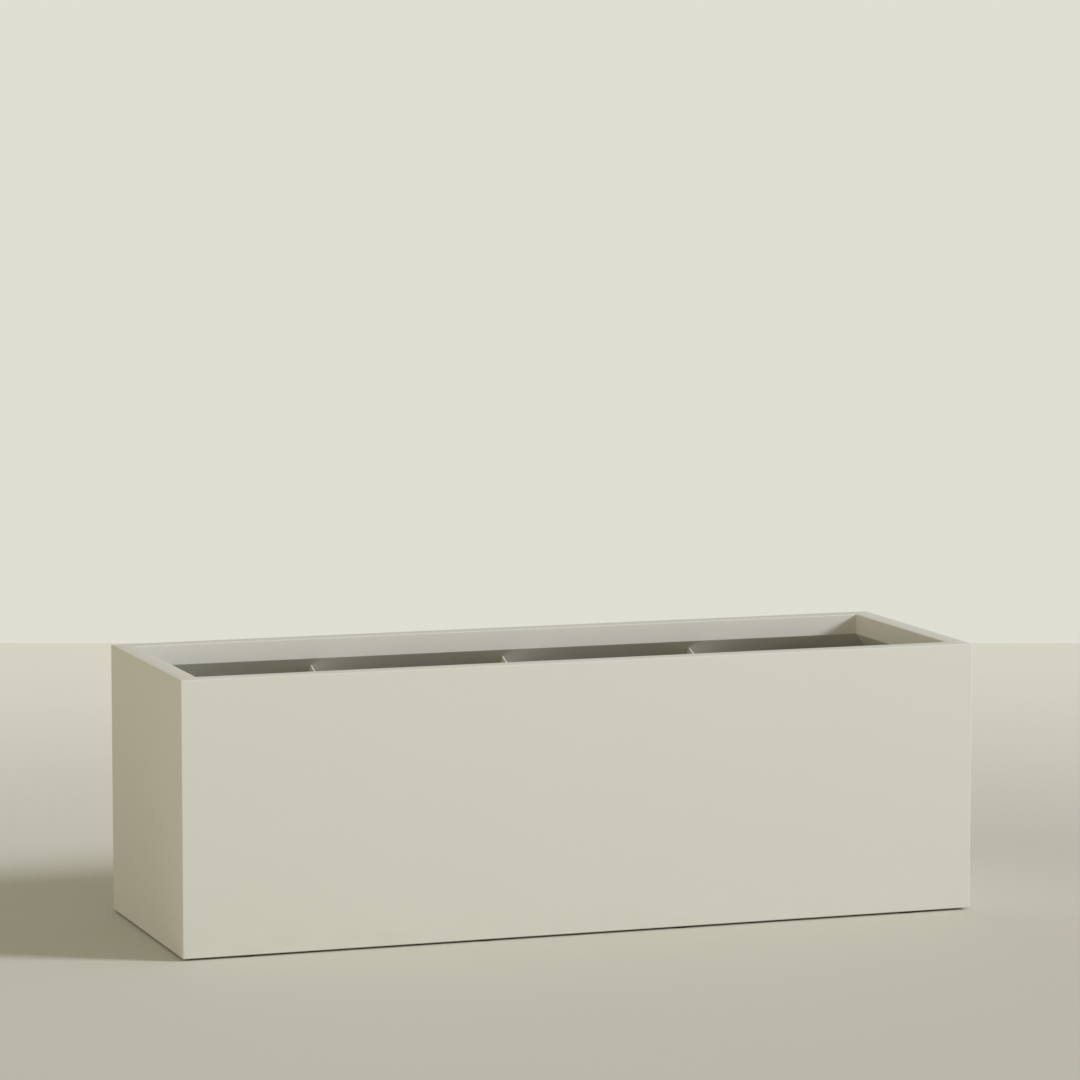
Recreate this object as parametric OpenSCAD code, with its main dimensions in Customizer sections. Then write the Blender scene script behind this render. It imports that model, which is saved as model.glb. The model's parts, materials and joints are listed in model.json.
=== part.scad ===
// Self-watering trough planter in folded and welded aluminium sheet.
// Origin: middle of the footprint, on the ground. X runs along the trough, -Y is the front, Z is up.

/* [Overall] */
// Length over the outside of the shell
planter_length = 1524; // [1400:1:1600]
// Depth over the outside of the shell, front to back
planter_depth = 508; // [500:1:560]
// Height from the ground to the top of the rim
planter_height = 504; // [500:1:600]
// Height of the rubber feet under the shell
foot_height = 4; // [3:0.5:12]

/* [Sheet metal] */
// Thickness of the shell, pan, ledges and braces
sheet = 3; // [2.5:0.5:3]
// Width of the flat top of the rim
rim_width = 38; // [36:1:42]
// Height of the upright return inside the rim
rim_drop = 38; // [34:1:44]
// How far the sloping fold under the return runs back to the wall, and down
fold_run = 31; // [26:1:31]
// Width of the inward flange at the foot of each wall
base_flange = 30; // [29:1:34]

/* [Cross braces] */
// Distance between the middles of neighbouring braces
brace_pitch = 381; // [370:1:385]
// Distance of the brace's horn tip from the outside of the wall
horn_inset = 24; // [20:1:30]
// Radius of the hollow curve between the horn and the level top edge
horn_radius = 127; // [100:1:150]
// Slope of that curve at the tip of the horn, in degrees
horn_slope = 26; // [20:1:30]
// Height of the brace's bottom edge above the ground
brace_bottom = 376; // [366:1:380]
// Width of the end flanges that meet the walls
brace_flange = 24; // [22:1:28]

/* [Reservoir] */
// Height of the hat channels under the pan
channel_height = 20; // [18:1:24]
// Height of the pan's upturned sides
pan_upturn = 100; // [92:1:102]
// Clear depth from the pan's floor to the underside of the separators
reservoir_depth = 105; // [104:1:110]
// Width of the ledges that carry the separators
ledge_width = 60; // [56:1:64]

/* [Separators] */
// Thickness of the separator panels
panel_thickness = 4; // [3:0.5:5]
// Height of the edge strips around each separator panel
panel_lip = 12; // [8:1:16]
// Height of the stiffening bars under each separator panel
panel_rib = 12; // [8:1:14]
// Outside width of the square wicking baskets
basket_width = 84; // [80:1:84]

/* [Filling and level] */
// Outside radius of the filling tube
fill_radius = 25; // [24:0.5:26]
// Outside radius of the water level tube
level_radius = 16; // [15.5:0.5:17]
// Height of the filling tube's top edge above the ground
column_top = 456; // [446:1:460]
// Travel of the level float from empty to full
float_travel = 70; // [60:1:72]

/* [Overflow] */
// Radius of the outlet bore under the pan
outlet_radius = 10; // [9:0.1:10]
// Depth of water that the standpipe holds back
water_depth = 73; // [60:1:76]

/* [Hidden] */
$fn = 64;

// Outside half sizes and main levels
half_l = planter_length / 2;
half_d = planter_depth / 2;
shell_height = planter_height - foot_height;
flange_top = foot_height + sheet;
pan_bottom = flange_top + channel_height;
pan_floor = pan_bottom + sheet;
ledge_top = pan_floor + reservoir_depth;
panel_top = ledge_top + panel_thickness;
wall_gap = 0.5;
pan_l = planter_length - 2 * (sheet + wall_gap);
pan_d = planter_depth - 2 * (sheet + wall_gap);
past = 1;
mitre_reach = 80;

// Braces
brace_x = [-brace_pitch, 0, brace_pitch];
brace_gap = 0.3;
brace_shoulder = sheet + wall_gap;
fold_sum = rim_width + rim_drop;
horn_tip_z = planter_height - fold_sum + horn_inset - brace_gap;
brace_level = horn_tip_z - horn_radius * (1 - cos(horn_slope));
horn_centre = horn_inset + horn_radius * sin(horn_slope);
stud_r = 3;
stud_length = 14;
stud_hole_r = 3.3;
stud_z = [brace_bottom + 14, brace_bottom + 40];
nut_bore_r = 3.05;
nut_across_corners = 11.5;
nut_height = 5;
flange_top_z = planter_height - fold_sum + brace_shoulder - 2;

// Separator bays, between the mouth's ends and the braces
mouth_x = half_l - rim_width - 2;
mouth_y = half_d - rim_width - 2;
bay_gap = 5;
bay_x = [[-mouth_x, -brace_pitch - bay_gap], [-brace_pitch + bay_gap, -bay_gap],
         [bay_gap, brace_pitch - bay_gap], [brace_pitch + bay_gap, mouth_x]];
panel_hole = basket_width + 2;
lip_thickness = 3;
part_gap = 0.2;
rib_thickness = 4;
rib_clearance = 30;
slot_pitch = 24;
slot_columns = [-5.5:1:5.5];
slot_rows = [-147, -82, 0, 82, 147];
slot_length = 50;
slot_width = 5;
rib_rows = [-114.5, -50, 50, 114.5];

// Wicking baskets
basket_wall = 2.5;
basket_rim = 5;
basket_foot = 4;
basket_slots = [-2:1:2];
basket_slot_pitch = 14;
basket_slot_width = 4;
basket_slot_top = 20;

// Supports under the joints between separators
support_top = 50;
support_end = half_d - sheet - ledge_width - 3;
notch_width = 80;
notch_height = 25;
notch_y = [-125, 0, 125];

// Filling tube and level tube, both in the far right bay near the front
fill_x = 650;
fill_y = -150;
level_x = 506;
level_y = -150;
tube_wall = 3;
fill_foot = pan_floor + 26;
tube_play = 0.3;
boss_wall = 5;
boss_height = 12;
fill_keepout = fill_radius + boss_wall + 4;
level_keepout = level_radius + boss_wall + 4;
collar_wall = 5;
collar_height = 12;
collar_lip = 2;
collar_top = column_top + collar_lip;
flap_gap = 0.4;
flap_thickness = 4;
pin_r = 2;
pin_play = 0.05;
knuckle_r = 4;
knuckle_half = 7.7;
lug_inner = 8;
lug_outer = 12;
lug_r = 4.8;
hinge_y = fill_y + fill_radius + collar_wall + 6;
hinge_z = collar_top + flap_gap + flap_thickness / 2;
level_foot = pan_floor + basket_foot;
level_top = column_top - 56;
window_skirt = 12;
window_wall = 3;
float_r = level_radius - tube_wall - 1.5;
float_bottom = level_foot + 2.3;
float_height = 50;
rod_r = 2;
tip_r = 5;
tip_height = 10;
tip_bottom = level_top - 16;
tip_play = 2;
window_top = tip_bottom + tip_height + float_travel + tip_play + window_wall;

// Overflow standpipe, in the middle left bay near the back
overflow_x = -190;
overflow_y = 110;
outlet_bottom = 8;
neck_r = 16;
neck_play = 0.5;
fitting_flange_r = 26;
fitting_flange = 4;
gasket_thickness = 1.5;
socket_depth = 10;
socket_play = 0.05;
pipe_r = 12.5;
pipe_bore = 10;
collar_r = 17;
seal_thickness = 1.5;
lock_nut_height = 7;
lock_nut_r = 26;
socket_top = pan_floor + gasket_thickness + fitting_flange + socket_depth;
pipe_top = pan_floor + water_depth - 12;
strainer_height = 14;
strainer_cap = 2;

// Feet
pad_r = 13;
pad_inset = 16;
pad_x = [-640, -190, 190, 640];
stem_r = 3.2;
stem_hole_r = 3.3;
stem_head_r = 4.6;
stem_head = 2.5;

// Hat channels
channel_x = [-700, -brace_pitch, 0, brace_pitch, 700];
channel_brim = 30;
channel_half = 18;
channel_sheet = 2.5;

shell_colour = [0.80, 0.79, 0.73];
mill_colour = [0.66, 0.67, 0.66];
plastic_colour = [0.16, 0.17, 0.17];
pipe_colour = [0.33, 0.35, 0.34];
steel_colour = [0.75, 0.75, 0.74];
rubber_colour = [0.08, 0.08, 0.08];
clear_colour = [0.85, 0.92, 0.95, 0.4];
signal_colour = [0.80, 0.16, 0.12];
float_colour = [0.92, 0.91, 0.86];

// ---- shared shapes ----

// Places a section drawn as (distance in from the outer face, height) along one side of the trough.
// side 0 is the front, 1 the right end, 2 the back and 3 the left end. Ends are mitred at 45 degrees.
module along_side(side) {
    run = side % 2 == 0 ? half_l : half_d;
    reach = side % 2 == 0 ? half_d : half_l;
    rotate([0, 0, 90 * side])
    intersection() {
        translate([-run, -reach, 0])
            rotate([90, 0, 90])
                linear_extrude(height = 2 * run)
                    children();
        linear_extrude(height = planter_height + past)
            polygon([[-run, -reach], [run, -reach],
                     [run - mitre_reach, -reach + mitre_reach],
                     [-run + mitre_reach, -reach + mitre_reach]]);
    }
}

// One wall: base flange, wall, rim, upright return and the 45 degree fold under it
module wall_section() {
    h = shell_height;
    slant = sheet / sqrt(2);
    translate([0, foot_height])
        polygon([[0, 0], [base_flange, 0], [base_flange, sheet], [sheet, sheet],
                 [sheet, h - sheet], [rim_width - sheet, h - sheet],
                 [rim_width - sheet, h - rim_drop + sheet * (sqrt(2) - 1)],
                 [rim_width - fold_run - slant, h - rim_drop - fold_run + slant],
                 [rim_width - fold_run, h - rim_drop - fold_run],
                 [rim_width, h - rim_drop], [rim_width, h], [0, h]]);
}

module ledge_section() {
    leg = 22;
    polygon([[sheet, ledge_top - sheet], [sheet + ledge_width, ledge_top - sheet],
             [sheet + ledge_width, ledge_top], [2 * sheet, ledge_top],
             [2 * sheet, ledge_top + leg], [sheet, ledge_top + leg]]);
}

module ring(outer, inner, height) {
    difference() {
        cylinder(r = outer, h = height);
        translate([0, 0, -past])
            cylinder(r = inner, h = height + 2 * past);
    }
}

// Hex nut with its base at the origin and its axis along Z
module hex_nut(corners, bore, height) {
    difference() {
        cylinder(d = corners, h = height, $fn = 6);
        translate([0, 0, -past])
            cylinder(r = bore, h = height + 2 * past, $fn = 32);
    }
}

module at_feet() {
    for (x = pad_x)
        for (side = [-1, 1])
            translate([x, side * (half_d - pad_inset), 0])
                children();
}

// Places a shape, with its base on the wall's inner face and its axis pointing inward, at every stud
module at_studs() {
    for (x = brace_x)
        for (z = stud_z)
            for (side = [-1, 1])
                translate([x + brace_flange / 2 + sheet, side * (half_d - sheet), z])
                    rotate([side * 90, 0, 0])
                        children();
}

// ---- shell ----

module foot_holes() {
    at_feet()
        translate([0, 0, foot_height - past])
            cylinder(r = stem_hole_r, h = sheet + 2 * past);
}

module front_panel() {
    color(shell_colour)
        difference() {
            along_side(0) wall_section();
            foot_holes();
        }
}

module back_panel() {
    color(shell_colour)
        difference() {
            along_side(2) wall_section();
            foot_holes();
        }
}

module left_end_panel() {
    color(shell_colour) along_side(3) wall_section();
}

module right_end_panel() {
    color(shell_colour) along_side(1) wall_section();
}

// ---- reservoir ----

// The pan is a flat base with four side strips welded along its edges
module pan_base() {
    color(mill_colour)
        difference() {
            translate([-pan_l / 2, -pan_d / 2, pan_bottom])
                cube([pan_l, pan_d, sheet]);
            translate([overflow_x, overflow_y, pan_bottom - past])
                cylinder(r = neck_r + neck_play, h = sheet + 2 * past);
        }
}

module pan_long_side(y) {
    color(mill_colour)
        translate([-pan_l / 2, y, pan_floor])
            cube([pan_l, sheet, pan_upturn - sheet]);
}

module pan_short_side(x) {
    color(mill_colour)
        translate([x, -pan_d / 2 + sheet, pan_floor])
            cube([sheet, pan_d - 2 * sheet, pan_upturn - sheet]);
}

module pan_front() {
    pan_long_side(-pan_d / 2);
}

module pan_back() {
    pan_long_side(pan_d / 2 - sheet);
}

module pan_left() {
    pan_short_side(-pan_l / 2);
}

module pan_right() {
    pan_short_side(pan_l / 2 - sheet);
}

module hat_section() {
    t = channel_sheet;
    polygon([[-channel_brim, 0], [-channel_half + t, 0], [-channel_half + t, channel_height - t],
             [channel_half - t, channel_height - t], [channel_half - t, 0], [channel_brim, 0],
             [channel_brim, t], [channel_half, t], [channel_half, channel_height],
             [-channel_half, channel_height], [-channel_half, t], [-channel_brim, t]]);
}

module floor_channels() {
    run = half_d - sheet - 2 * wall_gap;
    color(mill_colour)
        for (x = channel_x)
            translate([x, run, flange_top])
                rotate([90, 0, 0])
                    linear_extrude(height = 2 * run)
                        hat_section();
}

module ledge_front() {
    color(mill_colour) along_side(0) ledge_section();
}

module ledge_back() {
    color(mill_colour) along_side(2) ledge_section();
}

module ledge_left() {
    color(mill_colour) along_side(3) ledge_section();
}

module ledge_right() {
    color(mill_colour) along_side(1) ledge_section();
}

// T-shaped wall under the joint between two separators, notched at the foot so that water passes
module support(x) {
    color(mill_colour)
        translate([x, 0, 0])
            difference() {
                union() {
                    translate([-support_top / 2, -support_end, ledge_top - sheet])
                        cube([support_top, 2 * support_end, sheet]);
                    translate([-sheet / 2, -support_end, pan_floor])
                        cube([sheet, 2 * support_end, ledge_top - sheet - pan_floor]);
                }
                for (y = notch_y)
                    translate([-sheet, y - notch_width / 2, pan_floor - past])
                        cube([2 * sheet, notch_width, notch_height + past]);
            }
}

module support_left() {
    support(-brace_pitch);
}

module support_centre() {
    support(0);
}

module support_right() {
    support(brace_pitch);
}

// ---- cross braces ----

// Outline of a brace across the trough, as (distance in from the front's outer face, height)
module brace_outline() {
    far = planter_depth;
    shoulder_z = horn_tip_z - horn_inset + brace_shoulder;
    arc_top = brace_level + horn_radius;
    difference() {
        polygon([[brace_shoulder, brace_bottom], [brace_shoulder, shoulder_z],
                 [horn_inset, horn_tip_z], [far - horn_inset, horn_tip_z],
                 [far - brace_shoulder, shoulder_z], [far - brace_shoulder, brace_bottom]]);
        for (u = [horn_centre, far - horn_centre])
            translate([u, arc_top])
                circle(r = horn_radius, $fn = 180);
        translate([horn_centre, brace_level])
            square([far - 2 * horn_centre, horn_radius]);
    }
}

module cross_brace(x) {
    flange_z = flange_top_z - brace_bottom;
    color(shell_colour)
        difference() {
            union() {
                translate([x - sheet / 2, -half_d, 0])
                    rotate([90, 0, 90])
                        linear_extrude(height = sheet)
                            brace_outline();
                for (y = [-half_d + brace_shoulder, half_d - brace_shoulder - sheet])
                    translate([x, y, brace_bottom])
                        cube([brace_flange + sheet / 2, sheet, flange_z]);
            }
            at_studs()
                cylinder(r = stud_hole_r, h = 3 * sheet);
        }
}

module cross_brace_left() {
    cross_brace(-brace_pitch);
}

module cross_brace_centre() {
    cross_brace(0);
}

module cross_brace_right() {
    cross_brace(brace_pitch);
}

module brace_studs() {
    color(steel_colour)
        at_studs()
            cylinder(r = stud_r, h = stud_length);
}

module brace_nuts() {
    color(steel_colour)
        at_studs()
            translate([0, 0, sheet + wall_gap])
                hex_nut(nut_across_corners, nut_bore_r, nut_height);
}

// ---- separators ----

function clear_of(x, y, at_x, at_y, keep) =
    abs(x - at_x) > keep + slot_width / 2 || abs(y - at_y) > keep + slot_length / 2;

function slot_allowed(x, y) =
    clear_of(x, y, fill_x, fill_y, fill_keepout)
    && clear_of(x, y, level_x, level_y, level_keepout);

// Perforated panel over one bay, with a square hole for the basket
module separator(bay) {
    x0 = bay_x[bay][0];
    x1 = bay_x[bay][1];
    mid = (x0 + x1) / 2;
    deep = panel_thickness + 2 * past;
    color(plastic_colour)
        translate([0, 0, ledge_top])
            difference() {
                translate([x0, -mouth_y, 0])
                    cube([x1 - x0, 2 * mouth_y, panel_thickness]);
                translate([mid - panel_hole / 2, -panel_hole / 2, -past])
                    cube([panel_hole, panel_hole, deep]);
                for (i = slot_columns)
                    for (y = slot_rows)
                        if (slot_allowed(mid + i * slot_pitch, y) && (y != 0 || abs(i) > 2.4))
                            translate([mid + i * slot_pitch - slot_width / 2, y - slot_length / 2, -past])
                                cube([slot_width, slot_length, deep]);
                if (bay == 3)
                    at_tubes()
                        translate([0, 0, -past])
                            cylinder(r = $tube_r + tube_play, h = deep);
            }
}

// Edge strips on top of a separator and stiffening bars under it
module strips(bay) {
    x0 = bay_x[bay][0];
    x1 = bay_x[bay][1];
    t = lip_thickness;
    bar_l = x1 - x0 - 2 * rib_clearance;
    short_l = x1 - x0 - 2 * (t + part_gap);
    color(plastic_colour) {
        for (x = [x0, x1 - t])
            translate([x, -mouth_y, panel_top])
                cube([t, 2 * mouth_y, panel_lip]);
        for (y = [-mouth_y, mouth_y - t])
            translate([x0 + t + part_gap, y, panel_top])
                cube([short_l, t, panel_lip]);
        for (y = rib_rows)
            translate([x0 + rib_clearance, y - rib_thickness / 2, ledge_top - panel_rib])
                cube([bar_l, rib_thickness, panel_rib]);
    }
}

// Stands a shape at the filling tube and at the level tube, with the tube's radius in $tube_r
module at_tubes() {
    for (spot = [[fill_x, fill_y, fill_radius], [level_x, level_y, level_radius]]) {
        $tube_r = spot[2];
        translate([spot[0], spot[1], 0])
            children();
    }
}

// Rings on the separator that hold the filling tube and the level tube upright
module tube_guides() {
    color(plastic_colour)
        at_tubes()
            translate([0, 0, panel_top])
                ring($tube_r + boss_wall, $tube_r + tube_play, boss_height);
}

module strips_far_left() {
    strips(0);
}

module strips_mid_left() {
    strips(1);
}

module strips_mid_right() {
    strips(2);
}

module strips_far_right() {
    strips(3);
}

module separator_far_left() {
    separator(0);
}

module separator_mid_left() {
    separator(1);
}

module separator_mid_right() {
    separator(2);
}

module separator_far_right() {
    separator(3);
}

// Slotted basket that hangs in a separator's square hole and reaches down into the water.
// It is five flat moulded panels that clip together, with a flange round the top.
module wick_basket(bay) {
    foot_z = pan_floor + basket_foot;
    inner = basket_width - 2 * (basket_wall + part_gap);
    color(plastic_colour)
        translate([(bay_x[bay][0] + bay_x[bay][1]) / 2, 0, 0]) {
            for (turn = [0, 180])
                rotate([0, 0, turn])
                    basket_side(basket_width, basket_rim);
            for (turn = [90, 270])
                rotate([0, 0, turn])
                    basket_side(inner, 0);
            translate([-inner / 2, -inner / 2, foot_z])
                cube([inner, inner, basket_wall]);
        }
}

// One side of a basket, facing the front, with its part of the top flange
module basket_side(width, flange_past) {
    foot_z = pan_floor + basket_foot;
    slot_z = foot_z + 2 * basket_wall;
    face = basket_width / 2;
    flange = width + 2 * flange_past;
    difference() {
        union() {
            translate([-width / 2, -face, foot_z])
                cube([width, basket_wall, panel_top + basket_wall - foot_z]);
            translate([-flange / 2, -face - basket_rim, panel_top])
                cube([flange, basket_rim + past, basket_wall]);
        }
        for (i = basket_slots)
            translate([i * basket_slot_pitch - basket_slot_width / 2, -face - past, slot_z])
                cube([basket_slot_width, basket_wall + 2 * past, panel_top - basket_slot_top - slot_z]);
    }
}

module wick_basket_far_left() {
    wick_basket(0);
}

module wick_basket_mid_left() {
    wick_basket(1);
}

module wick_basket_mid_right() {
    wick_basket(2);
}

module wick_basket_far_right() {
    wick_basket(3);
}

// ---- filling tube ----

module fill_tube() {
    color(pipe_colour)
        translate([fill_x, fill_y, fill_foot])
            ring(fill_radius, fill_radius - tube_wall, column_top - fill_foot);
}

// Ring over the tube's top edge, with two lugs for the flap's pin
module fill_collar() {
    outer = fill_radius + collar_wall;
    lug_z = column_top - collar_height;
    color(plastic_colour)
        difference() {
            union() {
                translate([fill_x, fill_y, lug_z])
                    cylinder(r = outer, h = collar_top - lug_z);
                for (side = [-1, 1])
                    translate([fill_x + side * (lug_inner + lug_outer) / 2, 0, 0]) {
                        translate([-(lug_outer - lug_inner) / 2, hinge_y - outer / 2, lug_z])
                            cube([lug_outer - lug_inner, outer / 2 + lug_r, collar_top - lug_z]);
                        translate([-(lug_outer - lug_inner) / 2, hinge_y, hinge_z])
                            rotate([0, 90, 0])
                                cylinder(r = lug_r, h = lug_outer - lug_inner);
                    }
            }
            translate([fill_x, fill_y, lug_z - past])
                cylinder(r = fill_radius, h = collar_height + past);
            translate([fill_x, fill_y, lug_z])
                cylinder(r = fill_radius - tube_wall, h = planter_height);
            translate([fill_x - 2 * lug_outer, hinge_y, hinge_z])
                rotate([0, 90, 0])
                    cylinder(r = pin_r, h = 4 * lug_outer);
        }
}

module fill_flap() {
    outer = fill_radius + collar_wall;
    arm = hinge_y - fill_y;
    color(plastic_colour)
        difference() {
            union() {
                translate([fill_x, fill_y, collar_top + flap_gap])
                    cylinder(r = outer, h = flap_thickness);
                translate([fill_x - knuckle_half, fill_y, collar_top + flap_gap])
                    cube([2 * knuckle_half, arm, flap_thickness]);
                translate([fill_x - knuckle_half, hinge_y, hinge_z])
                    rotate([0, 90, 0])
                        cylinder(r = knuckle_r, h = 2 * knuckle_half);
                translate([fill_x - knuckle_half, fill_y - outer - 5, collar_top + flap_gap])
                    cube([2 * knuckle_half, outer, flap_thickness]);
            }
            translate([fill_x - 2 * lug_outer, hinge_y, hinge_z])
                rotate([0, 90, 0])
                    cylinder(r = pin_r + pin_play, h = 4 * lug_outer);
        }
}

module flap_pin() {
    color(steel_colour)
        translate([fill_x - lug_outer - past, hinge_y, hinge_z])
            rotate([0, 90, 0])
                cylinder(r = pin_r, h = 2 * (lug_outer + past));
}

// ---- water level indicator ----

module level_tube() {
    bore = level_radius - tube_wall;
    stop_r = float_r - 2.5;
    inlet = 20;
    color(pipe_colour)
        difference() {
            translate([level_x, level_y, level_foot])
                cylinder(r = level_radius, h = level_top - level_foot);
            translate([level_x, level_y, level_foot + 2])
                cylinder(r = bore, h = level_top);
            translate([level_x, level_y, level_foot - past])
                cylinder(r = stop_r, h = 4 * past);
            for (turn = [0, 90])
                translate([level_x, level_y, level_foot + 2 * past])
                    rotate([0, 0, turn])
                        translate([-2 * level_radius, -2, 2])
                            cube([4 * level_radius, 4, inlet]);
        }
}

// Clear dome over the top of the level tube, where the tip shows
module level_window() {
    skirt_r = level_radius + window_wall;
    skirt_z = level_top - window_skirt;
    bore = level_radius - tube_wall;
    color(clear_colour)
        translate([level_x, level_y, 0])
            difference() {
                union() {
                    translate([0, 0, skirt_z])
                        cylinder(r = skirt_r, h = window_skirt + window_wall);
                    translate([0, 0, skirt_z])
                        cylinder(r = level_radius, h = window_top - skirt_z);
                }
                translate([0, 0, skirt_z - past])
                    cylinder(r = level_radius, h = window_skirt + past);
                translate([0, 0, skirt_z])
                    cylinder(r = bore, h = window_top - window_wall - skirt_z);
            }
}

module level_float() {
    color(float_colour)
        translate([level_x, level_y, float_bottom])
            cylinder(r = float_r, h = float_height);
}

module level_rod() {
    rod_z = float_bottom + float_height;
    color(steel_colour)
        translate([level_x, level_y, rod_z])
            cylinder(r = rod_r, h = tip_bottom - rod_z);
}

module level_tip() {
    color(signal_colour)
        translate([level_x, level_y, tip_bottom])
            cylinder(r = tip_r, h = tip_height);
}

// ---- overflow standpipe ----

module overflow_fitting() {
    flange_z = pan_floor + gasket_thickness;
    color(pipe_colour)
        translate([overflow_x, overflow_y, 0])
            difference() {
                union() {
                    translate([0, 0, outlet_bottom])
                        cylinder(r = neck_r, h = socket_top - outlet_bottom);
                    translate([0, 0, flange_z])
                        cylinder(r = fitting_flange_r, h = fitting_flange);
                }
                translate([0, 0, outlet_bottom - past])
                    cylinder(r = outlet_radius, h = planter_height);
                translate([0, 0, socket_top - socket_depth])
                    cylinder(r = pipe_r + socket_play, h = socket_depth + past);
            }
}

module overflow_gasket() {
    color(rubber_colour)
        translate([overflow_x, overflow_y, pan_floor])
            ring(fitting_flange_r - 1, neck_r + neck_play, gasket_thickness);
}

module overflow_nut() {
    color(pipe_colour)
        translate([overflow_x, overflow_y, pan_bottom - lock_nut_height])
            hex_nut(2 * lock_nut_r, neck_r + 0.1, lock_nut_height);
}

module standpipe_seal() {
    color(rubber_colour)
        translate([overflow_x, overflow_y, socket_top])
            ring(neck_r, pipe_r + 0.2, seal_thickness);
}

module standpipe() {
    foot_z = socket_top - socket_depth + 0.5;
    collar_z = socket_top + seal_thickness;
    color(pipe_colour)
        translate([overflow_x, overflow_y, 0])
            difference() {
                union() {
                    translate([0, 0, foot_z])
                        cylinder(r = pipe_r, h = pipe_top - foot_z);
                    translate([0, 0, collar_z])
                        cylinder(r = collar_r, h = fitting_flange);
                }
                translate([0, 0, foot_z - past])
                    cylinder(r = pipe_bore, h = planter_height);
            }
}

// Slotted cap on the standpipe; the slots' lower edge sets the water level
module standpipe_strainer() {
    skirt = 8;
    slot_z = 4;
    color(plastic_colour)
        translate([overflow_x, overflow_y, pipe_top - skirt])
            difference() {
                cylinder(r = collar_r, h = skirt + strainer_height);
                translate([0, 0, -past])
                    cylinder(r = pipe_r, h = skirt + strainer_height - strainer_cap + past);
                for (turn = [0:30:150])
                    rotate([0, 0, turn])
                        translate([-2 * collar_r, -1.5, skirt + slot_z - 2])
                            cube([4 * collar_r, 3, strainer_height - strainer_cap - slot_z]);
            }
}

// ---- feet ----

// Rubber feet pushed into the base flanges, each with a stem and a retaining head above the flange
module foot_pads() {
    color(rubber_colour)
        at_feet() {
            cylinder(r = pad_r, h = foot_height);
            cylinder(r = stem_r, h = flange_top + stem_head);
            translate([0, 0, flange_top])
                cylinder(r = stem_head_r, h = stem_head);
        }
}

front_panel();
back_panel();
left_end_panel();
right_end_panel();
pan_base();
pan_front();
pan_back();
pan_left();
pan_right();
floor_channels();
ledge_front();
ledge_back();
ledge_left();
ledge_right();
support_left();
support_centre();
support_right();
cross_brace_left();
cross_brace_centre();
cross_brace_right();
brace_studs();
brace_nuts();
separator_far_left();
separator_mid_left();
separator_mid_right();
separator_far_right();
strips_far_left();
strips_mid_left();
strips_mid_right();
strips_far_right();
tube_guides();
wick_basket_far_left();
wick_basket_mid_left();
wick_basket_mid_right();
wick_basket_far_right();
fill_tube();
fill_collar();
fill_flap();
flap_pin();
level_tube();
level_window();
level_float();
level_rod();
level_tip();
overflow_fitting();
overflow_gasket();
overflow_nut();
standpipe_seal();
standpipe();
standpipe_strainer();
foot_pads();
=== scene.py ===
"""Looks of a self-watering trough planter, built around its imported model. Lengths are in metres."""

import json
import math

import bmesh
import bpy
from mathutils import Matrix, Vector


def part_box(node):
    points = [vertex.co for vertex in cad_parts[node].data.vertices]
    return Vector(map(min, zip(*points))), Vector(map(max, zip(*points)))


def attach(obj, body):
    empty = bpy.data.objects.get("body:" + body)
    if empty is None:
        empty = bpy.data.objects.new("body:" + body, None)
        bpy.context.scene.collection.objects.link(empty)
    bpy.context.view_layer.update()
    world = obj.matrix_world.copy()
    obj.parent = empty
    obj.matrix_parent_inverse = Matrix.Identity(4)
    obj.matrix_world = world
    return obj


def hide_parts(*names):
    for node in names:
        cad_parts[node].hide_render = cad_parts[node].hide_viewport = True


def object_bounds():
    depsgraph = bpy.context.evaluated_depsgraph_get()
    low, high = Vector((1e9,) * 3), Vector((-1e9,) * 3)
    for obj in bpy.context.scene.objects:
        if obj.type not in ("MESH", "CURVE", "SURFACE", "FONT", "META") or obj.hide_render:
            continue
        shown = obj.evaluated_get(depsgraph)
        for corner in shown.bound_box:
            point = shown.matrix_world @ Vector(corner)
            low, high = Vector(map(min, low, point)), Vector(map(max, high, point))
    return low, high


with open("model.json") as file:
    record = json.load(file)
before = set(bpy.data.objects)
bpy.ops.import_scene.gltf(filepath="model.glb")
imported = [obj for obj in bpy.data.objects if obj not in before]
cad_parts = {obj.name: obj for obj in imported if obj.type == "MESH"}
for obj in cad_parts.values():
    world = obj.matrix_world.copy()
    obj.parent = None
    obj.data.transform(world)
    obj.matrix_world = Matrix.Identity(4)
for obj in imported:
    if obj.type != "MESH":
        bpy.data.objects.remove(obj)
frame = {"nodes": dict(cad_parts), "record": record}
cad_box = [list(corner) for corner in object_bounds()]

MM = 0.001
TAU = 2 * math.pi

# ---- measures taken from the frame ----

HIGH = Vector(cad_box[1])
HALF_L = HIGH.x
HALF_D = HIGH.y
TOP = HIGH.z
SHELL_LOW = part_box("front_panel")[0].z
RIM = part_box("front_panel")[1].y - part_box("front_panel")[0].y
LEDGE_LEG_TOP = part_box("ledge_front")[1].z

# Folded sheet of the walls
SHEET = 3 * MM
RIM_DROP = 38 * MM
FOLD_RUN = 31 * MM
BASE_FLANGE = 30 * MM
FOLD_OUTSIDE = 1.6 * MM
FOLD_INSIDE = 0.6 * MM
CUT_EDGE = 0.5 * MM
CORNER_ROUND = 1.4 * MM
CORNER_STEPS = 5


# ---- shader maths ----

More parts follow.
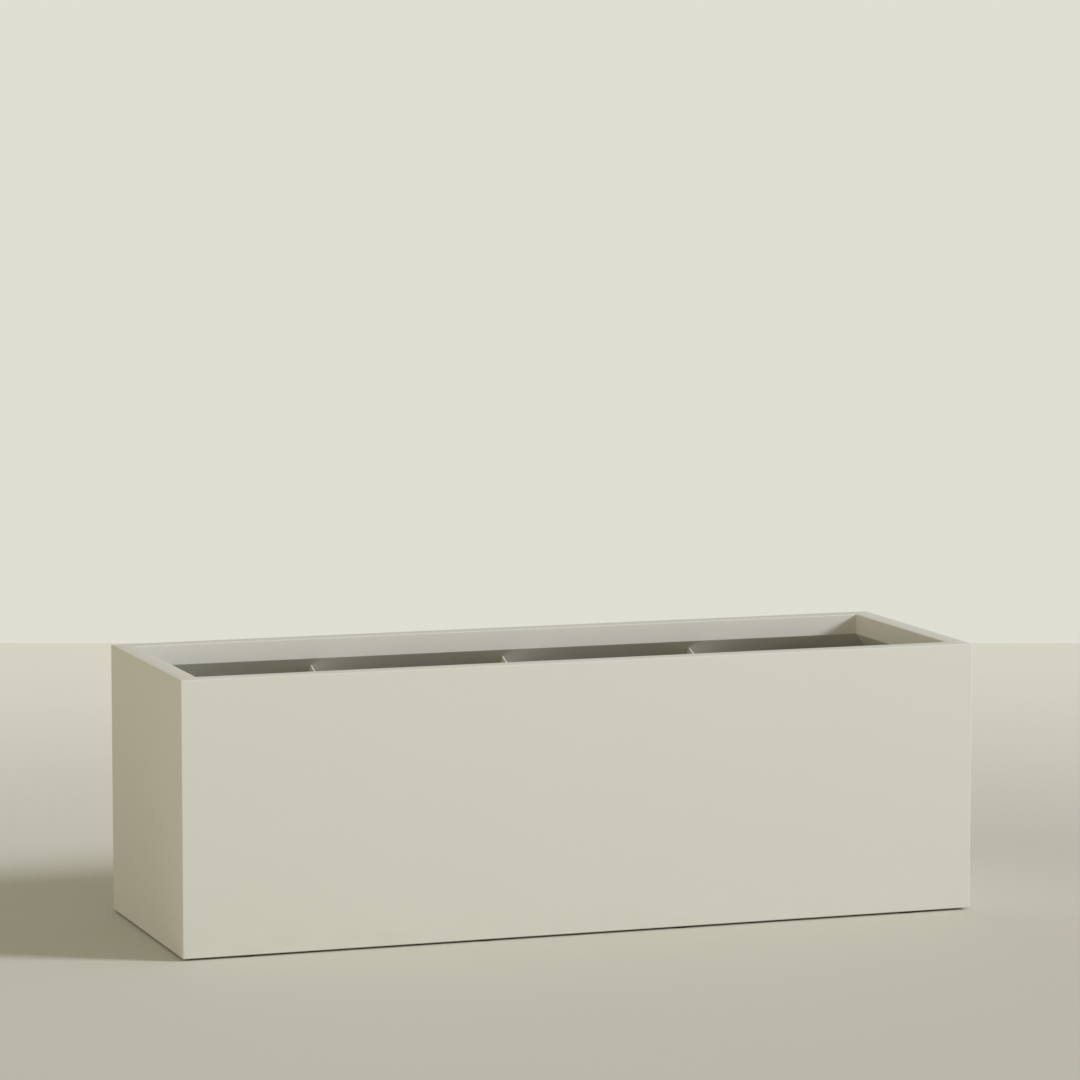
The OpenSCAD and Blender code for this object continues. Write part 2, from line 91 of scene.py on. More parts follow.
class Shade:
    """One output of a node. Sums, differences and products of it add Math nodes."""

    def __init__(self, finish, socket):
        self.finish = finish
        self.socket = socket

    def _math(self, operation, *values):
        return self.finish.node("ShaderNodeMath", {"operation": operation}, dict(enumerate(values)))

    def __add__(self, other):
        return self._math("ADD", self, other)

    __radd__ = __add__

    def __sub__(self, other):
        return self._math("SUBTRACT", self, other)

    def __rsub__(self, other):
        return self._math("SUBTRACT", other, self)

    def __mul__(self, other):
        return self._math("MULTIPLY", self, other)

    def ramp(self, low, high):
        """0 below low, 1 above high, smooth between."""
        values = {"Value": self, "From Min": low, "From Max": high}
        return self.finish.node("ShaderNodeMapRange", {"interpolation_type": "SMOOTHSTEP"}, values)


class Finish:
    """A material round one Principled shader."""

    def __init__(self, name, **constants):
        self.material = bpy.data.materials.new(name)
        self.material.use_nodes = True
        self.tree = self.material.node_tree
        self.shader = self.tree.nodes["Principled BSDF"]
        for socket, value in constants.items():
            self.shader.inputs[socket.replace("_", " ")].default_value = value
        self.place = self.node("ShaderNodeTexCoord", output="Object")

    def node(self, kind, settings=None, values=None, output=0):
        made = self.tree.nodes.new(kind)
        for setting, value in (settings or {}).items():
            setattr(made, setting, value)
        for socket, value in (values or {}).items():
            self.join(made.inputs[socket], value)
        return Shade(self, made.outputs[output])

    def join(self, socket, value):
        if isinstance(value, Shade):
            self.tree.links.new(value.socket, socket)
        elif isinstance(value, tuple) and len(value) == 3 and socket.type == "RGBA":
            socket.default_value = (*value, 1.0)
        else:
            socket.default_value = value

    def feed(self, socket, value):
        self.join(self.shader.inputs[socket], value)

    def stretched(self, x, y, z):
        """The place on the piece, with each axis scaled."""
        return self.node("ShaderNodeVectorMath", {"operation": "MULTIPLY"},
                         {0: self.place, 1: (x, y, z)})

    def noise(self, scale, detail=3.0, rough=0.5, place=None):
        values = {"Vector": place or self.place, "Scale": scale, "Detail": detail, "Roughness": rough}
        return self.node("ShaderNodeTexNoise", {}, values)

    def grains(self, scale, place=None):
        return self.node("ShaderNodeTexVoronoi", {}, {"Vector": place or self.place, "Scale": scale})

    def height(self):
        """How far up the planter a point lies, in metres."""
        return self.node("ShaderNodeSeparateXYZ", {}, {0: self.place}, output="Z")

    def edge(self, radius, low=0.02, high=0.25):
        """1 on sharp outside and inside edges, 0 on flats."""
        soft = self.node("ShaderNodeBevel", {"samples": 4}, {"Radius": radius})
        flat = self.node("ShaderNodeNewGeometry", output="True Normal")
        facing = self.node("ShaderNodeVectorMath", {"operation": "DOT_PRODUCT"}, {0: soft, 1: flat},
                           output="Value")
        return (1 - facing).ramp(low, high)

    def mix(self, factor, first, second):
        made = self.tree.nodes.new("ShaderNodeMix")
        made.data_type = "RGBA"
        self.join(made.inputs[0], factor)
        self.join(made.inputs[6], first)
        self.join(made.inputs[7], second)
        return Shade(self, made.outputs[2])

    def bump(self, height, strength, distance):
        values = {"Height": height, "Strength": strength, "Distance": distance}
        self.feed("Normal", self.node("ShaderNodeBump", {}, values))


def powder_coat():
    """Matte, fine-textured coat in a warm pale grey, a little dusty near the ground."""
    coat = Finish("powder_coat", Specular_IOR_Level=0.35)
    sand = coat.noise(1500, 2.0)
    peel = coat.noise(320, 2.0)
    cloud = coat.noise(3.5, 4.0)
    worn = coat.edge(0.9 * MM)
    dust = 1 - coat.height().ramp(0.0, 0.075)
    pale = (0.655, 0.640, 0.560)
    deep = (0.640, 0.625, 0.543)
    tone = coat.mix(cloud, pale, deep)
    tone = coat.mix(sand.ramp(0.35, 0.75) * 0.05, tone, (0.50, 0.49, 0.46))
    tone = coat.mix(dust * coat.noise(22, 5.0).ramp(0.35, 0.7) * 0.10, tone, (0.52, 0.47, 0.38))
    tone = coat.mix(worn * 0.16, tone, (0.78, 0.775, 0.76))
    coat.feed("Base Color", tone)
    coat.feed("Roughness", 0.60 + cloud * 0.05 + dust * 0.08 - worn * 0.06)
    coat.bump(sand * 0.6 + peel * 0.4, 0.30, 0.12 * MM)
    return coat.material


def mill_sheet():
    """Rolled aluminium as it comes from the mill, with faint streaks along the sheet."""
    mill = Finish("mill_sheet", Metallic=1.0)
    streaks = mill.noise(1.0, 4.0, 0.6, mill.stretched(6, 260, 260))
    cloud = mill.noise(9, 4.0)
    worn = mill.edge(0.8 * MM)
    tone = mill.mix(streaks, (0.54, 0.55, 0.55), (0.66, 0.67, 0.66))
    tone = mill.mix(cloud.ramp(0.45, 0.8) * 0.3, tone, (0.47, 0.475, 0.465))
    tone = mill.mix(worn * 0.5, tone, (0.78, 0.78, 0.77))
    mill.feed("Base Color", tone)
    mill.feed("Roughness", 0.34 + streaks * 0.16 + cloud * 0.08)
    mill.bump(streaks, 0.10, 0.05 * MM)
    return mill.material


def moulded_plastic(name, light, dark, grain=900):
    """Moulded polymer with a spark-eroded skin, paler and smoother where it rubs."""
    skin = Finish(name, Specular_IOR_Level=0.45)
    fine = skin.grains(grain)
    cloud = skin.noise(14, 4.0)
    worn = skin.edge(0.8 * MM)
    tone = skin.mix(cloud, light, dark)
    tone = skin.mix(worn * 0.35, tone, tuple(0.6 * part + 0.12 for part in light))
    skin.feed("Base Color", tone)
    skin.feed("Roughness", 0.50 + cloud * 0.12 - worn * 0.10)
    skin.bump(fine, 0.25, 0.10 * MM)
    return skin.material


def extruded_pipe():
    """Grey pressure pipe, drawn along its length, with light handling marks."""
    pipe = Finish("extruded_pipe", Specular_IOR_Level=0.5)
    lines = pipe.noise(1.0, 3.0, 0.55, pipe.stretched(700, 700, 7))
    cloud = pipe.noise(18, 4.0)
    scuffs = pipe.noise(1.0, 5.0, 0.65, pipe.stretched(60, 60, 240)).ramp(0.62, 0.78)
    worn = pipe.edge(0.8 * MM)
    tone = pipe.mix(cloud, (0.115, 0.125, 0.122), (0.145, 0.156, 0.152))
    tone = pipe.mix(scuffs * 0.18 + worn * 0.25, tone, (0.27, 0.28, 0.275))
    pipe.feed("Base Color", tone)
    pipe.feed("Roughness", 0.36 + scuffs * 0.16 + lines * 0.08)
    pipe.bump(lines, 0.10, 0.05 * MM)
    return pipe.material


def plated_steel():
    """Bright zinc plate with faint spangle and rubbed corners."""
    plate = Finish("plated_steel", Metallic=1.0)
    spangle = plate.grains(420)
    cloud = plate.noise(160, 3.0)
    worn = plate.edge(0.35 * MM)
    tone = plate.mix(cloud, (0.62, 0.63, 0.62), (0.72, 0.72, 0.70))
    tone = plate.mix(worn * 0.4, tone, (0.85, 0.85, 0.84))
    plate.feed("Base Color", tone)
    plate.feed("Roughness", 0.26 + spangle * 0.12 + cloud * 0.06)
    plate.bump(spangle, 0.12, 0.03 * MM)
    return plate.material


def black_rubber():
    """Moulded rubber, matte, with a bloom of dust."""
    rubber = Finish("black_rubber", Specular_IOR_Level=0.3)
    bloom = rubber.noise(120, 5.0, 0.6)
    fine = rubber.noise(1400, 2.0)
    worn = rubber.edge(0.6 * MM)
    tone = rubber.mix(bloom.ramp(0.4, 0.75), (0.022, 0.022, 0.021), (0.052, 0.050, 0.046))
    tone = rubber.mix(worn * 0.3, tone, (0.085, 0.082, 0.076))
    rubber.feed("Base Color", tone)
    rubber.feed("Roughness", 0.74 + bloom * 0.14)
    rubber.bump(fine, 0.25, 0.08 * MM)
    return rubber.material


def closed_foam():
    """Closed-cell foam of the float."""
    foam = Finish("closed_foam", Specular_IOR_Level=0.3)
    cells = foam.grains(620)
    cloud = foam.noise(60, 3.0)
    worn = foam.edge(0.8 * MM)
    tone = foam.mix(cells.ramp(0.1, 0.7), (0.80, 0.785, 0.73), (0.70, 0.685, 0.62))
    tone = foam.mix(cloud * 0.25 + worn * 0.1, tone, (0.64, 0.61, 0.53))
    foam.feed("Base Color", tone)
    foam.feed("Roughness", 0.72 + cloud * 0.12)
    foam.bump(cells, 0.45, 0.25 * MM)
    return foam.material


def signal_paint():
    """Glossy red of the level tip."""
    paint = Finish("signal_paint", Coat_Roughness=0.12)
    cloud = paint.noise(220, 3.0)
    worn = paint.edge(0.5 * MM)
    tone = paint.mix(cloud, (0.60, 0.022, 0.012), (0.50, 0.016, 0.010))
    paint.feed("Base Color", paint.mix(worn * 0.25, tone, (0.72, 0.16, 0.10)))
    paint.feed("Roughness", 0.22 + cloud * 0.10)
    paint.bump(cloud, 0.08, 0.03 * MM)
    return paint.material


def clear_dome():
    """Clear moulded window, with faint flow lines and fine scratches."""
    clear = Finish("clear_dome", Transmission_Weight=1.0, IOR=1.49)
    flow = clear.noise(1.0, 3.0, 0.5, clear.stretched(40, 40, 12))
    scratches = clear.noise(1.0, 5.0, 0.7, clear.stretched(90, 90, 900)).ramp(0.60, 0.72)
    worn = clear.edge(0.6 * MM)
    clear.feed("Base Color", clear.mix(flow, (0.93, 0.965, 0.975), (0.97, 0.985, 0.99)))
    clear.feed("Roughness", 0.03 + scratches * 0.10 + worn * 0.06)
    clear.bump(flow, 0.05, 0.05 * MM)
    return clear.material


FINISHES = {
    "shell_coat": powder_coat(),
    "mill_sheet": mill_sheet(),
    "black_plastic": moulded_plastic("moulded_black", (0.030, 0.031, 0.031), (0.022, 0.023, 0.023)),
    "grey_pipe": extruded_pipe(),
    "steel": plated_steel(),
    "rubber": black_rubber(),
    "clear_plastic": clear_dome(),
    "float_foam": closed_foam(),
    "signal_red": signal_paint(),
}
SLOT_OF = {row["node"]: row["material_slot"] for row in frame["record"]["subparts"]}


# ---- mesh tools ----

def rounded(corners, steps=4):
    """Points of an outline from corners (x, y, radius), each corner turned into an arc."""
    points = []
    for i, (x, y, radius) in enumerate(corners):
        here = Vector((x, y))
        back = Vector(corners[i - 1][:2]) - here
        on = Vector(corners[(i + 1) % len(corners)][:2]) - here
        half = back.angle(on) / 2 if back.length and on.length else 0
        if radius <= 0 or half < 0.01:
            points.append((x, y))
            continue
        reach = min(radius / math.tan(half), back.length / 2, on.length / 2)
        radius = reach * math.tan(half)
        start, end = here + back.normalized() * reach, here + on.normalized() * reach
        centre = here + (back.normalized() + on.normalized()).normalized() * (radius / math.sin(half))
        first, last = start - centre, end - centre
        for k in range(steps + 1):
            turn = k / steps
            arm = first.lerp(last, turn)
            points.append(tuple(centre + arm.normalized() * radius))
    return points


def piece(name, mesh_maker, body, slot, replaced=(), sharp=35):
    """Makes a piece from a bmesh, shades it, rides it on a body and gives it a finish."""
    bm = bmesh.new()
    mesh_maker(bm)
    bmesh.ops.remove_doubles(bm, verts=bm.verts, dist=1e-7)
    bmesh.ops.dissolve_degenerate(bm, edges=bm.edges, dist=1e-7)
    bmesh.ops.recalc_face_normals(bm, faces=bm.faces)
    mesh = bpy.data.meshes.new(name)
    bm.to_mesh(mesh)
    bm.free()
    for face in mesh.polygons:
        face.use_smooth = True
    mesh.set_sharp_from_angle(angle=math.radians(sharp))
    mesh.materials.append(FINISHES[slot])
    made = bpy.data.objects.new(name, mesh)
    bpy.context.scene.collection.objects.link(made)
    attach(made, body)
    if replaced:
        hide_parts(*replaced)
    return made


def skin(bm, rings, caps=True):
    """Faces between closed rings of points that have the same count."""
    rows = [[bm.verts.new(point) for point in ring] for ring in rings]
    count = len(rows[0])
    for a, b in zip(rows, rows[1:]):
        for i in range(count):
            j = (i + 1) % count
            bm.faces.new((a[i], a[j], b[j], b[i]))
    if caps:
        bm.faces.new(list(reversed(rows[0])))
        bm.faces.new(rows[-1])


def turned(bm, outline, centre=(0, 0), segments=72):
    """A solid of revolution from a closed outline of (radius, height)."""
    rings = []
    for k in range(segments):
        turn = TAU * k / segments
        rings.append([(centre[0] + r * math.cos(turn), centre[1] + r * math.sin(turn), z)
                      for r, z in outline])
    rings.append(rings[0])
    skin(bm, rings, caps=False)


# ---- walls: folded sheet with rounded folds, mitred and welded at the corners ----

def wall_outline():
    """The folded section, as (distance in from the outer face, height)."""
    low = SHELL_LOW
    slant = SHEET / math.sqrt(2)
    return rounded([
        (0, low, FOLD_OUTSIDE),
        (BASE_FLANGE, low, CUT_EDGE),
        (BASE_FLANGE, low + SHEET, CUT_EDGE),
        (SHEET, low + SHEET, FOLD_INSIDE),
        (SHEET, TOP - SHEET, FOLD_INSIDE),
        (RIM - SHEET, TOP - SHEET, FOLD_INSIDE),
        (RIM - SHEET, TOP - RIM_DROP + SHEET * (math.sqrt(2) - 1), FOLD_INSIDE),
        (RIM - FOLD_RUN - slant, TOP - RIM_DROP - FOLD_RUN + slant, CUT_EDGE),
        (RIM - FOLD_RUN, TOP - RIM_DROP - FOLD_RUN, CUT_EDGE),
        (RIM, TOP - RIM_DROP, FOLD_OUTSIDE),
        (RIM, TOP, FOLD_OUTSIDE),
        (0, TOP, FOLD_OUTSIDE),
    ])


def corner_point(inset, angle):
    """A point near the front left corner, at a distance in from the outer faces."""
    if inset >= CORNER_ROUND:
        return inset, inset
    arm = CORNER_ROUND - inset
    return CORNER_ROUND + arm * math.cos(angle), CORNER_ROUND + arm * math.sin(angle)


def wall_panel(bm, side):
    """One wall. side 0 is the front, 1 the right end, 2 the back and 3 the left end."""
    half_run, reach = (HALF_L, HALF_D) if side % 2 == 0 else (HALF_D, HALF_L)
    outline = wall_outline()
    quarter = (math.cos(side * TAU / 4), math.sin(side * TAU / 4))
    rings = []
    for end in (-1, 1):
        for k in range(CORNER_STEPS + 1):
            part = k if end < 0 else CORNER_STEPS - k
            angle = math.radians(225 + 45 * part / CORNER_STEPS)
            ring = []
            for inset, z in outline:
                along, inward = corner_point(inset, angle)
                x, y = end * (half_run - along), -reach + inward
                ring.append((x * quarter[0] - y * quarter[1], x * quarter[1] + y * quarter[0], z))
            rings.append(ring)
    skin(bm, rings)


for side, wall in enumerate(("front_panel", "right_end_panel", "back_panel", "left_end_panel")):
    piece(wall + "_sheet", lambda bm, side=side: wall_panel(bm, side), "shell", "shell_coat", (wall,))


# ---- welds inside the shell ----

WELD_SINK = 0.2 * MM
RIPPLE = 2.4 * MM
RIPPLE_DEPTH = 0.07
BEAD_STEPS = 4
CORNER_WELD = 5 * MM
CORNER_WELD_GAPS = (4 * MM, 8 * MM)
LEDGE_WELD = 3 * MM
STITCH = 32 * MM
STITCH_PITCH = 140 * MM
STITCH_MARGIN = 60 * MM


def weld_bead(bm, start, end, first, second, size):
    """A fillet weld in an inside corner from start to end; first and second point along its two walls."""
    start, end, first, second = (Vector(part) for part in (start, end, first, second))
    length = (end - start).length
    count = max(8, int(length / (RIPPLE / 4)))
    rings = []
    for k in range(count + 1):
        along = k / count
        run = min(along, 1 - along) * length
        taper = math.sin(min(1, run / (1.5 * size)) * TAU / 4) ** 0.5
        leg = size * (0.25 + 0.75 * taper) * (1 + RIPPLE_DEPTH * math.cos(TAU * along * length / RIPPLE))
        at = start.lerp(end, along) - (first + second) * WELD_SINK
        ring = [at]
        for step in range(BEAD_STEPS + 1):
            turn = TAU / 4 * step / BEAD_STEPS
            bulge = 0.80 + 0.12 * math.sin(2 * turn)
            ring.append(at + (first * math.cos(turn) + second * math.sin(turn)) * leg * bulge)
        rings.append(ring)
    skin(bm, rings)


def corner_welds(bm):
    """Upright beads in the four corners, from above the ledges to below the fold."""
    low = LEDGE_LEG_TOP + CORNER_WELD_GAPS[0]
    high = TOP - RIM_DROP - FOLD_RUN - CORNER_WELD_GAPS[1]
    for x in (-1, 1):
        for y in (-1, 1):
            at = (x * (HALF_L - SHEET), y * (HALF_D - SHEET))
            weld_bead(bm, (*at, low), (*at, high), (-x, 0, 0), (0, -y, 0), CORNER_WELD)


def ledge_welds(bm):
    """Stitches along the top of each ledge's upright leg."""
    for x, y, half_run in ((0, -1, HALF_L), (0, 1, HALF_L), (-1, 0, HALF_D), (1, 0, HALF_D)):
        count = int((2 * half_run - STITCH_MARGIN) / STITCH_PITCH)
        for k in range(count + 1):
            mid = (k - count / 2) * STITCH_PITCH
            wall = (x * (HALF_L - SHEET), y * (HALF_D - SHEET))
            ends = []
            for sign in (-1, 1):
                run = mid + sign * STITCH / 2
                ends.append((wall[0] if x else run, wall[1] if y else run, LEDGE_LEG_TOP))
            weld_bead(bm, ends[0], ends[1], (-x, -y, 0), (0, 0, 1), LEDGE_WELD)


piece("corner_welds", corner_welds, "shell", "shell_coat", sharp=60)
piece("ledge_welds", ledge_welds, "shell", "mill_sheet", sharp=60)


# ---- parts that keep their shape, with softened edges ----

MERGE_GAP = 2e-6
FLAT_ANGLE = math.radians(0.8)
SHARP_ANGLE = math.radians(34)
EDGE_SEGMENTS = 2
SHEET_EDGE = 0.5 * MM
PLATE_EDGE = 0.6 * MM
FITTING_EDGE = 0.35 * MM


def soften(node, width):
    """Joins a node's flat faces, rounds its sharp edges and gives it its finish."""
    kept = frame["nodes"][node]
    mesh = kept.data
    if "custom_normal" in mesh.attributes:
        mesh.attributes.remove(mesh.attributes["custom_normal"])
    for face in mesh.polygons:
        face.use_smooth = True
    weld = kept.modifiers.new("weld", "WELD")
    weld.merge_threshold = MERGE_GAP
    flat = kept.modifiers.new("join flat faces", "DECIMATE")
    flat.decimate_type = "DISSOLVE"
    flat.angle_limit = FLAT_ANGLE
    soft = kept.modifiers.new("soft edges", "BEVEL")
    soft.width = width
    soft.segments = EDGE_SEGMENTS
    soft.limit_method = "ANGLE"
    soft.angle_limit = SHARP_ANGLE
    soft.harden_normals = True
    mesh.materials.clear()
    mesh.materials.append(FINISHES[SLOT_OF[node]])


def middle(node):
    """The middle of a node, seen from above."""
    low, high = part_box(node)
    return (low.x + high.x) / 2, (low.y + high.y) / 2


for node in ("pan_base", "pan_front", "pan_back", "pan_left", "pan_right", "floor_channels",
             "ledge_front", "ledge_back", "ledge_left", "ledge_right",
             "support_left", "support_centre", "support_right",
             "cross_brace_left", "cross_brace_centre", "cross_brace_right", "level_tube"):
    soften(node, SHEET_EDGE)
for bay in ("far_left", "mid_left", "mid_right", "far_right"):
    soften("separator_" + bay, PLATE_EDGE)
    soften("strips_" + bay, SHEET_EDGE)
    soften("wick_basket_" + bay, SHEET_EDGE)
for node in ("brace_nuts", "tube_guides", "fill_tube", "fill_collar", "fill_flap", "flap_pin", "level_rod",
             "overflow_fitting", "overflow_gasket", "overflow_nut", "standpipe_seal", "standpipe",
             "standpipe_strainer"):
    soften(node, FITTING_EDGE)


# ---- threaded studs of the braces ----

STUD_RADIUS = 3 * MM
STUD_LENGTH = 14 * MM
STUD_INSET = 15 * MM
STUD_RISES = (14 * MM, 40 * MM)
THREAD_PITCH = 1 * MM
THREAD_DEPTH = 0.45 * MM
PLAIN_SHANK = 2 * MM
STUD_CHAMFER = 0.8 * MM
STUD_SIDES = 24


def one_stud(bm, x, z, side):
    """A stud turned with thread grooves and a chamfered tip, pointing inward from the wall."""
    rings = []
    steps = int(STUD_LENGTH / THREAD_PITCH) * 4
    for k in range(steps + 1):
        run = STUD_LENGTH * k / steps
        groove = 0.5 - 0.5 * math.cos(TAU * run / THREAD_PITCH)
        cut = THREAD_DEPTH * groove if run > PLAIN_SHANK else 0
        radius = STUD_RADIUS - max(cut, run - STUD_LENGTH + STUD_CHAMFER)
        ring = []
        for step in range(STUD_SIDES):
            turn = TAU * step / STUD_SIDES
            ring.append((x + radius * math.cos(turn), side * (HALF_D - SHEET - run),
                         z + radius * math.sin(turn)))
        rings.append(ring)
    skin(bm, rings)


def brace_studs(bm):
    """Two studs at each end of each brace."""
    for node in ("cross_brace_left", "cross_brace_centre", "cross_brace_right"):
        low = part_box(node)[0]
        for rise in STUD_RISES:
            for side in (-1, 1):
                one_stud(bm, low.x + SHEET / 2 + STUD_INSET, low.z + rise, side)


piece("threaded_studs", brace_studs, "shell", "steel", ("brace_studs",), sharp=25)


# ---- turned parts of the level indicator ----

ON_AXIS = 0.01 * MM
WINDOW_WALL = 3 * MM
WINDOW_SKIRT = 12 * MM
DOME_ROUND = 9 * MM


def level_window(bm):
    """Clear window: a skirt over the tube's end, a shoulder, and a domed top."""
    low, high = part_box("level_window")
    tube_low, tube_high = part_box("level_tube")
    skirt = (high.x - low.x) / 2
    body = (tube_high.x - tube_low.x) / 2
    bore = body - WINDOW_WALL
    seat = low.z + WINDOW_SKIRT
    outline = rounded([
        (body, low.z, 0.4 * MM),
        (skirt, low.z, 0.8 * MM),
        (skirt, seat + WINDOW_WALL, 1.2 * MM),
        (body, seat + WINDOW_WALL, 0.8 * MM),
        (body, high.z, DOME_ROUND),
        (ON_AXIS, high.z, 0),
        (ON_AXIS, high.z - WINDOW_WALL, 0),
        (bore, high.z - WINDOW_WALL, DOME_ROUND - WINDOW_WALL),
        (bore, seat, 0.3 * MM),
        (body, seat, 0.3 * MM),
    ], 8)
    turned(bm, outline, middle("level_window"))


def level_float(bm):
    """Foam float with rounded ends and a shallow waist."""
    low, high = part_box("level_float")
    radius = (high.x - low.x) / 2
    mid = (low.z + high.z) / 2
    outline = rounded([
        (ON_AXIS, low.z, 0),
        (radius, low.z, 2.5 * MM),
        (radius, mid - 4 * MM, 1 * MM),
        (radius - 0.8 * MM, mid - 3 * MM, 1 * MM),
        (radius - 0.8 * MM, mid + 3 * MM, 1 * MM),
        (radius, mid + 4 * MM, 1 * MM),
        (radius, high.z, 2.5 * MM),
        (ON_AXIS, high.z, 0),
    ], 6)
    turned(bm, outline, middle("level_float"), 48)


def level_tip(bm):
    """Red tip with a domed head and a groove round its foot."""
    low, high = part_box("level_tip")
    radius = (high.x - low.x) / 2
    outline = rounded([
        (ON_AXIS, low.z, 0),
        (radius - 0.8 * MM, low.z, 0.3 * MM),
        (radius - 0.8 * MM, low.z + 1.5 * MM, 0.3 * MM),
        (radius, low.z + 2.2 * MM, 0.4 * MM),
        (radius, high.z, 3.5 * MM),
        (ON_AXIS, high.z, 0),
    ], 6)
    turned(bm, outline, middle("level_tip"), 48)


piece("level_window_dome", level_window, "separator_far_right", "clear_plastic", ("level_window",))
piece("level_float_body", level_float, "level_float", "float_foam", ("level_float",))
piece("level_tip_head", level_tip, "level_float", "signal_red", ("level_tip",))


# ---- grip and mark on the filling flap ----

FLAP_HALF_THICK = 2 * MM
SINK = 0.3 * MM
DROP_SIZE = 26 * MM
DROP_TIERS = ((1, -SINK), (1, 0.3 * MM), (0.94, 0.55 * MM), (0.72, 0.55 * MM), (0.66, 0.25 * MM))
RIB_TAPER = ((-0.5, 0.3), (-0.47, 0.75), (-0.42, 1), (0.42, 1), (0.47, 0.75), (0.5, 0.3))
RIB_COUNT = 4
RIB_START = 1.6 * MM
RIB_PITCH = 1.9 * MM
RIB_SIZE = (12 * MM, 1 * MM, 0.5 * MM)


def rib(bm, x, y, z, length, width, height):
    """A rounded rib along X on a surface at height z, with tapered ends."""
    section = [(-width / 2, -SINK), (width / 2, -SINK)]
    for k in range(7):
        turn = math.pi * k / 6
        section.append((width / 2 * math.cos(turn), height * math.sin(turn)))
    rings = []
    for along, scale in RIB_TAPER:
        rings.append([(x + along * length, y + across * scale, z + (up * scale if up > 0 else up))
                      for across, up in section])
    skin(bm, rings)


def drop_outline(count=48):
    """A water drop, point up, one unit high."""
    points = []
    for k in range(count):
        turn = TAU * k / count
        points.append((0.36 * math.sin(turn) * math.sin(turn / 2) ** 1.4, 0.5 * math.cos(turn)))
    return points


def flap_grip(bm):
    """A raised drop in the middle of the flap, and ribs on its thumb tab."""
    x, y = middle("fill_tube")
    pin_low, pin_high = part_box("flap_pin")
    top = (pin_low.z + pin_high.z) / 2 + FLAP_HALF_THICK
    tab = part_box("fill_flap")[0].y
    rings = []
    for shrink, rise in DROP_TIERS:
        size = DROP_SIZE * shrink
        rings.append([(x + across * size, y + (up - 0.1 * shrink) * size, top + rise)
                      for across, up in drop_outline()])
    skin(bm, rings)
    for k in range(RIB_COUNT):
        rib(bm, x, tab + RIB_START + k * RIB_PITCH, top, *RIB_SIZE)


piece("flap_grip", flap_grip, "fill_flap", "black_plastic")


# ---- rubber feet ----

PAD_RADIUS = 13 * MM
PAD_X = (-0.640, -0.190, 0.190, 0.640)
PAD_Y = HALF_D - 16 * MM
STEM_RADIUS = 3.2 * MM
HEAD_RADIUS = 4.6 * MM
HEAD_HEIGHT = 2.5 * MM


def rubber_feet(bm):
    """Each foot is a pad with a hollow tread, a stem through the base flange, and a barbed head."""
    flange = SHELL_LOW + SHEET
    outline = rounded([
        (ON_AXIS, 0.9 * MM, 0),
        (PAD_RADIUS - 5 * MM, 0.9 * MM, 0.6 * MM),
        (PAD_RADIUS - 4 * MM, 0, 0.5 * MM),
        (PAD_RADIUS - 0.6 * MM, 0, 0.8 * MM),
        (PAD_RADIUS, SHELL_LOW, 0.4 * MM),
        (STEM_RADIUS, SHELL_LOW, 0.3 * MM),
        (STEM_RADIUS, flange, 0.2 * MM),
        (HEAD_RADIUS, flange, 0.4 * MM),
        (STEM_RADIUS, flange + HEAD_HEIGHT, 0.8 * MM),
        (ON_AXIS, flange + HEAD_HEIGHT, 0),
    ])
    for x in PAD_X:
        for y in (-PAD_Y, PAD_Y):
            turned(bm, outline, (x, y), 48)


piece("rubber_feet", rubber_feet, "shell", "rubber", ("foot_pads",))


# ---- camera, light and floor ----

VIEW_TURN = math.radians(19.0204)
VIEW_DOWN = math.radians(6.3506)
EYE_PLACE = (-2.9056, -8.4171, 1.6903)
LENS = 160.51
SENSOR = 36
FAR_CLIP = 60
FLOOR_NEAR = (0.585, 0.570, 0.482)
# Colour of the far floor, paler than the near one: painted light
FLOOR_FAR_PAINTED_LIGHT = (0.83, 0.81, 0.70)
FLOOR_HALF = 3.8
FLOOR_FRONT = 4.2


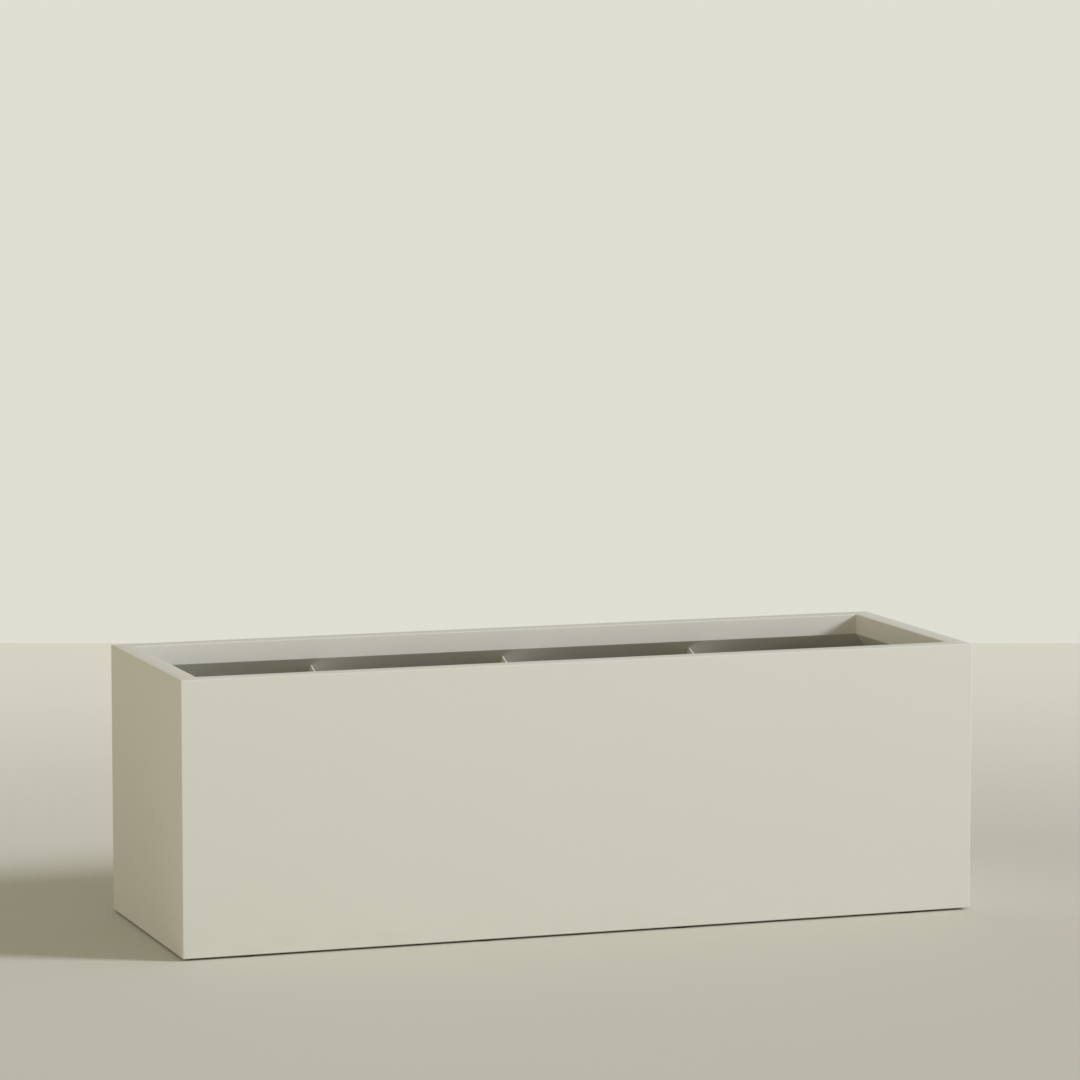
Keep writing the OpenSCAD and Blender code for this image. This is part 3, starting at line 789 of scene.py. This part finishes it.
def stage():
    """A plain pale floor, square to the camera, with painted light that makes it paler far off."""
    corners = []
    for x, y in ((-1, -FLOOR_FRONT), (1, -FLOOR_FRONT), (1, FLOOR_HALF), (-1, FLOOR_HALF)):
        corners.append((x * FLOOR_HALF, y, 0))
    mesh = bpy.data.meshes.new("floor")
    mesh.from_pydata(corners, [], [(0, 1, 2, 3)])
    floor = bpy.data.objects.new("floor", mesh)
    floor.rotation_euler = (0, 0, -VIEW_TURN)
    bpy.context.scene.collection.objects.link(floor)
    paint = Finish("floor_paint_with_painted_light", Specular_IOR_Level=0.3)
    cloud = paint.noise(2.0, 4.0)
    # Painted light: the floor's colour is ramped paler towards the back.
    depth_for_painted_light = paint.node("ShaderNodeSeparateXYZ", {}, {0: paint.place}, output="Y")
    tone = paint.mix(depth_for_painted_light.ramp(-0.2, FLOOR_HALF), FLOOR_NEAR, FLOOR_FAR_PAINTED_LIGHT)
    paint.feed("Base Color", paint.mix(cloud * 0.12, tone, (0.50, 0.48, 0.41)))
    paint.feed("Roughness", 0.7 + cloud * 0.1)
    mesh.materials.append(paint.material)


def camera():
    """A long lens, well above the rim and to the left of the front."""
    data = bpy.data.cameras.new("camera")
    data.sensor_width = SENSOR
    data.lens = LENS
    data.clip_end = FAR_CLIP
    eye = bpy.data.objects.new("camera", data)
    eye.location = EYE_PLACE
    eye.rotation_euler = (TAU / 4 - VIEW_DOWN, 0, -VIEW_TURN)
    bpy.context.scene.collection.objects.link(eye)
    bpy.context.scene.camera = eye


def sun(name, towards, strength, colour, spread):
    """A distant lamp that shines towards a direction; spread is its width in degrees."""
    data = bpy.data.lights.new(name, "SUN")
    data.energy = strength
    data.color = colour
    data.angle = math.radians(spread)
    lamp = bpy.data.objects.new(name, data)
    lamp.rotation_euler = Vector(towards).to_track_quat("-Z", "Y").to_euler()
    bpy.context.scene.collection.objects.link(lamp)


ROOM = (0.404, 0.398, 0.331)
BACKDROP = (0.745, 0.735, 0.650)


def lights():
    """A key light from the front right, a broad fill from the front left, and a pale room."""
    sun("key", (-1, 0.5, -0.51), 2.95, (0.97, 1.0, 1.15), 14)
    sun("front_fill", (0.95, 0.5, -0.20), 0.85, (1.0, 0.86, 0.71), 60)
    world = bpy.data.worlds.new("room")
    world.use_nodes = True
    tree = world.node_tree
    room = tree.nodes["Background"]
    room.inputs[0].default_value = (*ROOM, 1)
    seen = tree.nodes.new("ShaderNodeBackground")
    seen.inputs[0].default_value = (*BACKDROP, 1)
    path = tree.nodes.new("ShaderNodeLightPath")
    blend = tree.nodes.new("ShaderNodeMixShader")
    tree.links.new(path.outputs["Is Camera Ray"], blend.inputs[0])
    tree.links.new(room.outputs[0], blend.inputs[1])
    tree.links.new(seen.outputs[0], blend.inputs[2])
    tree.links.new(blend.outputs[0], tree.nodes["World Output"].inputs[0])
    bpy.context.scene.world = world


stage()
camera()
lights()
bpy.context.scene.view_settings.view_transform = "Standard"
